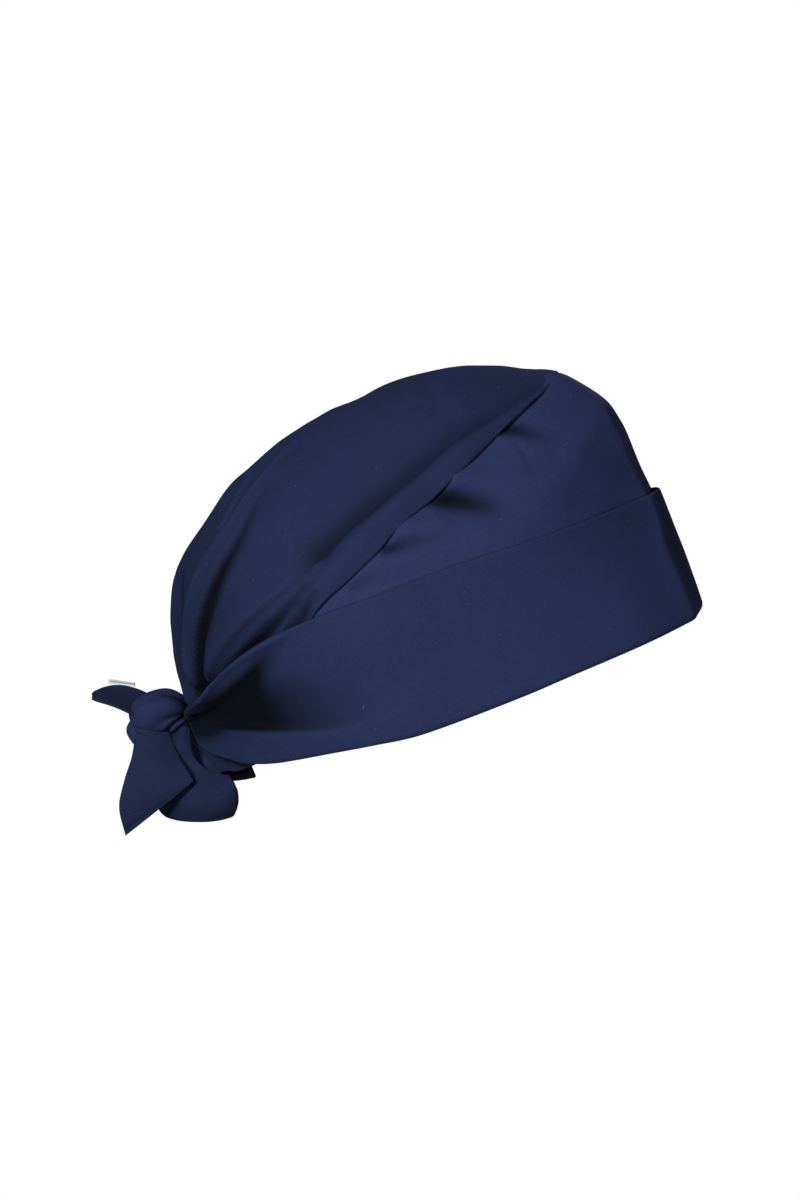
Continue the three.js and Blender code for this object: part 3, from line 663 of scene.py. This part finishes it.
def lobe(name, shape, folds, seed):
    """A wound lobe of the knot."""
    centre, half, slope = shape
    rows, columns = ((84, 120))
    lean = np.linspace(0, math.pi, rows + 1)[:, None]
    turn = np.arange(columns) / columns * 2 * math.pi
    ball = np.stack([np.sin(lean) * np.cos(turn), np.sin(lean) * np.sin(turn),
                     np.cos(lean) + 0 * turn], -1)
    boxy = np.sign(ball) * np.abs(ball) ** KNOT_ROUNDNESS
    sin, cos = math.sin(math.radians(slope)), math.cos(math.radians(slope))
    points = boxy * np.array(half)
    normals = unit(ball / np.array(half))
    for field in (points, normals):
        along, over = field[..., 1].copy(), field[..., 2].copy()
        field[..., 1] = along * cos - over * sin
        field[..., 2] = along * sin + over * cos
    points = points + np.array(centre)
    heights, painted_shading = fold_heights(folds, points, normals, 1.5)
    heights += ripple(points, 11, 0.3, seed)
    grid = points + normals * heights[..., None]
    flat = laid(turn * 10, lean * 11, painted_shading)
    return cloth_object(name, grid, flat, False, True)


def ribbon(name, table, cloth, seed, along_steps, over_steps, hem=0, painted_edge_shade=0):
    """A strip of cloth between two edges, with a belly, a painted shade line along its stitched hem and
    painted shade along one edge.
    """
    keys = np.linspace(0, len(table) - 1, along_steps + 1)
    left = through([(i, *row[0]) for i, row in enumerate(table)], keys)
    right = through([(i, *row[1]) for i, row in enumerate(table)], keys)
    belly = through([(i, row[2]) for i, row in enumerate(table)], keys)
    share = np.linspace(0, 1, over_steps + 1)[:, None, None]
    middle = left + (right - left) * share
    normals = grid_normals(middle, False)
    bulge = belly[None, :, 0] * np.sin(math.pi * share[..., 0])
    middle = middle + normals * (bulge + ripple(middle, 15, 0.16, seed))[..., None]
    outer, inner = middle + normals * cloth / 2, middle - normals * cloth / 2
    width = np.linalg.norm(right - left, axis=-1)
    steps = np.linalg.norm(np.diff((left + right) / 2, axis=0), axis=-1)
    run = np.concatenate([[0], np.cumsum(steps)])
    # Painted shade: a dark line along the stitched hem, and shade painted on the strip's first edge.
    seam = 0.5 * np.exp(-(((run[-1] - run - hem) / 0.4) ** 2)) if hem else 0
    flat = laid(share[..., 0] * width, run, seam + painted_edge_shade * smooth(0.45 - share[..., 0], 0, 0.3))
    grid, lays = doubled(outer, inner, flat, True, True)
    return cloth_object(name, grid, lays, True, False)


def label_cloth():
    """The small blank label, a little curled."""
    rows = [((8.4, -122.6 - 2.4 * i, 46.6 + 1.15 * i), (13.4, -122.6 - 2.4 * i, 47.4 + 1.2 * i),
             0.3) for i in range(5)]
    return ribbon("blank_label", rows, 0.6, 21, 24, 12)


class Wire:
    """A shader node's output that can be used in sums like a number."""

    def __init__(self, tree, socket):
        self.tree = tree
        self.socket = socket

    def joined(self, operation, first, second=0.0):
        node = self.tree.nodes.new("ShaderNodeMath")
        node.operation = operation
        for place, value in zip(node.inputs, (first, second)):
            if isinstance(value, Wire):
                self.tree.links.new(value.socket, place)
            else:
                place.default_value = value
        return Wire(self.tree, node.outputs[0])

    def __add__(self, other):
        return self.joined("ADD", self, other)

    __radd__ = __add__

    def __mul__(self, other):
        return self.joined("MULTIPLY", self, other)

    __rmul__ = __mul__

    def __sub__(self, other):
        return self.joined("SUBTRACT", self, other)

    def __rsub__(self, other):
        return self.joined("SUBTRACT", other, self)

    def __truediv__(self, other):
        return self.joined("DIVIDE", self, other)

    def __rtruediv__(self, other):
        return self.joined("DIVIDE", other, self)

    def __pow__(self, other):
        return self.joined("POWER", self, other)

    def __neg__(self):
        return self.joined("MULTIPLY", self, -1.0)

    def sine(self):
        return self.joined("SINE", self)

    def size(self):
        return self.joined("ABSOLUTE", self)

    def clipped(self):
        """This value kept between 0 and 1."""
        return self.joined("MAXIMUM", self.joined("MINIMUM", self, 1.0), 0.0)


class Nodes:
    """The nodes of a material or a world, added one at a time."""

    def __init__(self, owner):
        owner.use_nodes = True
        self.tree = owner.node_tree
        self.tree.nodes.clear()

    def node(self, kind, settings=None, inputs=None, output=0):
        """Adds a node, first its settings and then its inputs, and gives one output."""
        made = self.tree.nodes.new(kind)
        for key, value in (settings or {}).items():
            setattr(made, key, value)
        for key, value in (inputs or {}).items():
            if isinstance(value, Wire):
                self.tree.links.new(value.socket, made.inputs[key])
            else:
                made.inputs[key].default_value = value
        return Wire(self.tree, made.outputs[output]) if made.outputs else None


CLOTH_SPECULAR = 0.06
SHEEN_TINT = (0.4, 0.5, 1.0, 1.0)


class Finish(Nodes):
    """A material being built."""

    def __init__(self, name):
        self.material = bpy.data.materials.new(name)
        super().__init__(self.material)

    def mix(self, share, first, second):
        """A colour between two, by share."""
        return self.node("ShaderNodeMix", {"data_type": "RGBA"}, {0: share, 6: first, 7: second}, 2)

    def cloth_map(self):
        """Millimetres along and over the flat cloth."""
        lay = self.node("ShaderNodeUVMap", {"uv_map": "Cloth"})
        return (self.node("ShaderNodeSeparateXYZ", None, {0: lay}, 0),
                self.node("ShaderNodeSeparateXYZ", None, {0: lay}, 1), lay)

    def place(self):
        """The place in the object, in millimetres."""
        spot = self.node("ShaderNodeTexCoord", None, None, 3)
        return self.node("ShaderNodeVectorMath", {"operation": "SCALE"}, {0: spot, "Scale": 1000})

    def noise(self, spot, scale, detail=2.0, roughness=0.5):
        return self.node("ShaderNodeTexNoise", {"noise_dimensions": "3D"},
                         {"Vector": spot, "Scale": scale, "Detail": detail,
                          "Roughness": roughness})

    def shade(self, colour, roughness, height, depth, strength=1.0, sheen=0.0):
        """The surface itself, with its relief in millimetres."""
        relief = self.node("ShaderNodeBump", None,
                           {"Strength": strength, "Distance": depth * MM, "Height": height})
        surface = self.node("ShaderNodeBsdfPrincipled", None, {
            "Base Color": colour, "Roughness": roughness, "Normal": relief,
            "Specular IOR Level": CLOTH_SPECULAR, "Sheen Weight": sheen, "Sheen Roughness": 0.4,
            "Sheen Tint": SHEEN_TINT})
        self.node("ShaderNodeOutputMaterial", None, {"Surface": surface})
        return self.material


def shade_of(colour, share):
    """A colour made lighter or darker, as four numbers."""
    return (colour[0] * share, colour[1] * share, colour[2] * share, 1.0)


LINT_COLOUR = (0.08, 0.09, 0.13, 1.0)
# How light the cloth is beside its own colour: a float's back and face, a painted valley shade and a
# painted crest highlight.
YARN_BACK, YARN_FACE, PAINTED_VALLEY_SHADE, PAINTED_CREST_HIGHLIGHT = 0.76, 1.26, 0.1, 2.0


def twill_finish(name, colour, pitch, lean, painted_shading=1.0):
    """Fine navy twill: slanting ribs, uneven yarn, a soft sheen, a little lint, painted shade in the
    folds' valleys and painted highlight on their crests, all lighter or darker as a whole by
    painted_shading.
    """
    finish = Finish(name)
    across, up, lay = finish.cloth_map()
    turn = math.radians(lean)
    over_ribs = across * math.sin(turn) + up * math.cos(turn)
    along_ribs = across * math.cos(turn) - up * math.sin(turn)
    wander = finish.noise(lay, 0.35) * 0.5
    ribs = ((over_ribs + wander) * (2 * math.pi / pitch)).sine()
    floats = ((along_ribs + over_ribs * 0.5) * (2 * math.pi / (pitch * 0.62))).sine()
    spot = finish.place()
    broad = finish.noise(spot, 0.018, 3.0)
    mottle = finish.noise(spot, 0.22, 4.0, 0.6)
    yarn = finish.noise(spot, 1.4, 2.0, 0.7)
    tint = 0.5 + ribs * 0.16 + floats * 0.05 + (yarn - 0.5) * 0.9
    tint = (tint + (mottle - 0.5) * 0.45 + (broad - 0.5) * 0.5).clipped()
    # The yarn colour, painted lighter or darker as a whole for this piece.
    cloth_colour = finish.mix(tint, shade_of(colour, YARN_BACK * painted_shading), shade_of(colour, YARN_FACE * painted_shading))
    lint = ((finish.noise(spot, 0.6, 0.0) - 0.86) * 60.0).clipped() * 0.25
    cloth_colour = finish.mix(lint, cloth_colour, LINT_COLOUR)
    # Painted shade in the folds' valleys and painted highlight on their crests, from the mesh's painted
    # shading.
    depth = finish.node("ShaderNodeAttribute", {"attribute_name": "Painted shading"}, None, 2)
    cloth_colour = finish.mix((depth * 0.92).clipped(), cloth_colour, shade_of(colour, PAINTED_VALLEY_SHADE))
    cloth_colour = finish.mix((-depth).clipped(), cloth_colour, shade_of(colour, PAINTED_CREST_HIGHLIGHT))
    rough = 0.78 + (mottle - 0.5) * 0.12
    height = ribs * 0.5 + floats * 0.22 + (yarn - 0.5) * 1.2 + (mottle - 0.5) * 0.8
    return finish.shade(cloth_colour, rough, height, 0.05, 0.75, 0.04)


def elastic_finish():
    """Near-black ribbed elastic: dull knitted ribs with a faint thread between them."""
    finish = Finish("Ribbed elastic")
    across, up, _ = finish.cloth_map()
    ribs = (across * (2 * math.pi / ELASTIC_RIB)).sine()
    knit = (up * (2 * math.pi / 0.7) + ribs).sine()
    worn = finish.noise(finish.place(), 0.4, 3.0)
    share = (0.5 + ribs * 0.2 + knit * 0.15 + (worn - 0.5) * 0.5).clipped()
    cloth_colour = finish.mix(share, (0.001, 0.001, 0.002, 1), (0.004, 0.004, 0.007, 1))
    return finish.shade(cloth_colour, 0.85 + (worn - 0.5) * 0.1, knit * 0.5 + ribs * 0.3, 0.06, 0.8)


def label_finish():
    """A pale satin label with a fine even weave and nothing on it."""
    finish = Finish("Blank label")
    across, up, _ = finish.cloth_map()
    weave = (across * (2 * math.pi / 0.3)).sine() * (up * (2 * math.pi / 0.3)).sine()
    soil = finish.noise(finish.place(), 0.3, 3.0)
    share = (0.5 + weave * 0.2 + (soil - 0.5) * 0.6).clipped()
    woven = finish.mix(share, (0.36, 0.37, 0.4, 1), (0.52, 0.53, 0.56, 1))
    return finish.shade(woven, 0.6 + (soil - 0.5) * 0.1, weave, 0.03, 0.5)


class ClothSettings(bpy.types.PropertyGroup):
    """How the cap's cloth looks."""

    navy: bpy.props.FloatVectorProperty(
        name="Navy", description="Colour of the twill", subtype="COLOR", size=3, min=0, max=1,
        default=(0.0142, 0.0208, 0.0543))
    pitch: bpy.props.FloatProperty(
        name="Twill pitch", description="Distance between two ribs of the twill",
        subtype="DISTANCE", unit="LENGTH", default=0.85 * MM, min=0.3 * MM, max=3 * MM)
    tie_wall: bpy.props.FloatProperty(
        name="Tie thickness", description="Thickness of a folded tie",
        subtype="DISTANCE", unit="LENGTH", default=1.3 * MM, min=0.5 * MM, max=3 * MM)


class LightSettings(bpy.types.PropertyGroup):
    """How the cap is lit."""

    key_power: bpy.props.FloatProperty(
        name="Main light", description="Strength of the large soft light, in watts a square metre",
        unit="POWER", default=6.1, min=0)
    side_power: bpy.props.FloatProperty(
        name="Side light", description="Strength of the weaker light, in watts a square metre",
        unit="POWER", default=1.7, min=0)
    key_spread: bpy.props.FloatProperty(
        name="Softness", description="Angle the main light spreads over", subtype="ANGLE",
        default=math.radians(18), min=0, max=math.pi)
    surround: bpy.props.FloatProperty(
        name="Surround", description="Strength of the light from all round", subtype="FACTOR",
        default=0.12, min=0, max=2)


def twill(name, lean, painted_shading=1.0):
    """A twill finish in the settings' navy, with its ribs at this lean, painted lighter or darker as a
    whole by painted_shading.
    """
    chosen = bpy.context.scene.scrub_cap_cloth
    return twill_finish(name, tuple(chosen.navy), chosen.pitch / MM, lean, painted_shading)


def settle(piece, node, finish):
    """Gives a piece its finish and its place among the CAD pieces."""
    piece.data.materials.append(finish)
    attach(piece, "root")
    if node:
        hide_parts(node)
    return piece


class CapCrown(bpy.types.Operator):
    """Builds the gathered crown"""

    bl_idname = "scrub_cap.crown"
    bl_label = "Crown"

    def execute(self, context):
        # Painted shade: the crown's twill is made darker as a whole.
        piece = settle(crown_cloth(), "crown_panel", twill("Crown twill", 48, 0.84))
        return {"FINISHED"}


class CapFront(bpy.types.Operator):
    """Builds the front panel"""

    bl_idname = "scrub_cap.front"
    bl_label = "Front panel"

    def execute(self, context):
        # Painted light: the front panel's twill is made lighter as a whole.
        piece = settle(front_cloth(), "front_panel", twill("Front twill", 36, 1.18))
        return {"FINISHED"}


class CapCuff(bpy.types.Operator):
    """Builds the turned-up cuff"""

    bl_idname = "scrub_cap.cuff"
    bl_label = "Cuff"

    def execute(self, context):
        piece = settle(cuff_cloth(), "cuff", twill("Cuff twill", 36))
        wall = context.scene.scrub_cap_cloth.tie_wall / MM
        steps = 160
        hem = ribbon("cuff_hem_cloth", UNDER_LAYER, wall, 44, steps, 20)
        # Painted shade: the hem's twill is made darker as a whole.
        settle(hem, "", twill("Hem twill", 20, 0.75))
        return {"FINISHED"}


class CapElastic(bpy.types.Operator):
    """Builds the nape elastic"""

    bl_idname = "scrub_cap.elastic"
    bl_label = "Nape elastic"

    def execute(self, context):
        settle(elastic_band(), "nape_elastic", elastic_finish())
        return {"FINISHED"}


class CapKnot(bpy.types.Operator):
    """Builds the two wound lobes of the knot"""

    bl_idname = "scrub_cap.knot"
    bl_label = "Knot"

    def execute(self, context):
        wrap = lobe("knot_wrap_cloth", KNOT_WRAP, WRAP_FOLDS, 31)
        # Painted shade: the knot wrap's twill is made a little darker as a whole.
        settle(wrap, "knot_wrap", twill("Knot twill", 60, 0.95))
        core = lobe("knot_core_cloth", KNOT_CORE, CORE_FOLDS, 32)
        settle(core, "knot_core", twill("Knot core twill", 20))
        return {"FINISHED"}


class CapTies(bpy.types.Operator):
    """Builds the loop and the two tie ends"""

    bl_idname = "scrub_cap.ties"
    bl_label = "Ties"

    def execute(self, context):
        wall = context.scene.scrub_cap_cloth.tie_wall / MM
        # Painted shade: the ties' twill is made darker as a whole.
        finish = twill("Tie twill", 0, 0.68)
        fine = 2
        # Painted shade: the loop's painted_edge_shade darkens one edge of it, where it turns under.
        for name, table, node, seed, steps, hem, painted_edge_shade in (
            ("loop_cloth", LOOP, "tie_loop", 41, 90, 0, 0.35),
            ("lower_tie_end_cloth", LOWER_END, "tie_end_lower", 42, 60, 1.5, 0),
            ("upper_tie_end_cloth", UPPER_END, "tie_end_upper", 43, 40, 1.5, 0),
        ):
            piece = ribbon(name, table, wall, seed, steps * fine, 24 * fine, hem, painted_edge_shade)
            settle(piece, node, finish)
        return {"FINISHED"}


class CapLabel(bpy.types.Operator):
    """Builds the small blank label"""

    bl_idname = "scrub_cap.label"
    bl_label = "Label"

    def execute(self, context):
        settle(label_cloth(), "label", label_finish())
        return {"FINISHED"}


VIEW_GAMMA = 0.85
FLOOR_HALF = 1.6
FLOOR_UP = -1.5
MAIN_FROM = (-0.8, 0.5, 0.42)
SIDE_FROM = (-1.0, -0.2, -0.05)
LIGHT_COLOUR = (1, 0.995, 0.985)
SURROUND_SEEN = 1.0
CAMERA_AWAY = 2.5
CAMERA_LIFT = math.radians(3)
CAMERA_AIM = (0, 0.0248, 0.0384)
CAMERA_SENSOR = 36
VIEW_HEIGHT = 0.48


class CapStage(bpy.types.Operator):
    """Sets the floor, the lights and the camera"""

    bl_idname = "scrub_cap.stage"
    bl_label = "Floor, light and camera"

    def execute(self, context):
        make_floor()
        make_lights(context.scene.scrub_cap_light)
        make_camera()
        context.scene.view_settings.view_transform = "Standard"
        context.scene.view_settings.gamma = VIEW_GAMMA
        return {"FINISHED"}


def make_floor():
    """A plain pale floor far below the cap, which hangs in the air as on a standing head."""
    mesh = bpy.data.meshes.new("Floor")
    corners = [(-1, -1), (1, -1), (1, 1), (-1, 1)]
    spots = [(x * FLOOR_HALF, y * FLOOR_HALF, FLOOR_UP) for x, y in corners]
    mesh.from_pydata(spots, [], [(0, 1, 2, 3)])
    floor = bpy.data.objects.new("Floor", mesh)
    bpy.context.collection.objects.link(floor)
    finish = Finish("Pale floor")
    surface = finish.node("ShaderNodeBsdfDiffuse", None, {"Color": (0.9, 0.9, 0.9, 1)})
    finish.node("ShaderNodeOutputMaterial", None, {"Surface": surface})
    mesh.materials.append(finish.material)


def make_lights(chosen):
    """A soft light from above the right shoulder, a weaker one from the right and a surround."""
    for name, strength, towards in (
        ("Main light", chosen.key_power, MAIN_FROM),
        ("Side light", chosen.side_power, SIDE_FROM),
    ):
        data = bpy.data.lights.new(name, "SUN")
        data.energy = strength
        data.angle = chosen.key_spread
        data.color = LIGHT_COLOUR
        light = bpy.data.objects.new(name, data)
        light.rotation_euler = Vector(towards).to_track_quat("Z", "Y").to_euler()
        bpy.context.collection.objects.link(light)
    world = bpy.data.worlds.new("White surround")
    bpy.context.scene.world = world
    nodes = Nodes(world)
    white = (1, 1, 1, 1)
    lit = nodes.node("ShaderNodeBackground", None, {"Color": white, "Strength": chosen.surround})
    seen = nodes.node("ShaderNodeBackground", None, {"Color": white, "Strength": SURROUND_SEEN})
    camera_ray = nodes.node("ShaderNodeLightPath")
    either = nodes.node("ShaderNodeMixShader", None, {0: camera_ray, 1: lit, 2: seen})
    nodes.node("ShaderNodeOutputWorld", None, {"Surface": either})


def make_camera():
    """A long lens level with the cap, on the wearer's right and a little above it."""
    aim = Vector(CAMERA_AIM)
    data = bpy.data.cameras.new("Camera")
    data.sensor_width = CAMERA_SENSOR
    data.lens = CAMERA_SENSOR * CAMERA_AWAY / VIEW_HEIGHT
    camera = bpy.data.objects.new("Camera", data)
    towards = Vector((-math.cos(CAMERA_LIFT), 0, math.sin(CAMERA_LIFT)))
    camera.location = aim + CAMERA_AWAY * towards
    camera.rotation_euler = (aim - camera.location).to_track_quat("-Z", "Y").to_euler()
    data.clip_start = 0.1
    data.clip_end = 50
    bpy.context.collection.objects.link(camera)
    bpy.context.scene.camera = camera


PIECES = (CapCrown, CapFront, CapCuff, CapElastic, CapKnot, CapTies, CapLabel, CapStage)


class CapPanel(bpy.types.Panel):
    """Lists the cap's pieces and its settings"""

    bl_idname = "VIEW3D_PT_scrub_cap"
    bl_label = "Scrub cap"
    bl_space_type = "VIEW_3D"
    bl_region_type = "UI"
    bl_category = "Scrub cap"

    def draw(self, context):
        for settings in (context.scene.scrub_cap_cloth, context.scene.scrub_cap_light):
            for key in settings.__annotations__:
                self.layout.prop(settings, key)
        for piece in PIECES:
            self.layout.operator(piece.bl_idname)


CLASSES = (ClothSettings, LightSettings, *PIECES, CapPanel)


def register():
    for item in CLASSES:
        bpy.utils.register_class(item)
    bpy.types.Scene.scrub_cap_cloth = bpy.props.PointerProperty(type=ClothSettings)
    bpy.types.Scene.scrub_cap_light = bpy.props.PointerProperty(type=LightSettings)


def unregister():
    del bpy.types.Scene.scrub_cap_light
    del bpy.types.Scene.scrub_cap_cloth
    for item in reversed(CLASSES):
        bpy.utils.unregister_class(item)


def main():
    register()
    for piece in PIECES:
        group, name = piece.bl_idname.split(".")
        getattr(getattr(bpy.ops, group), name)()


if __name__ == "__main__":
    main()
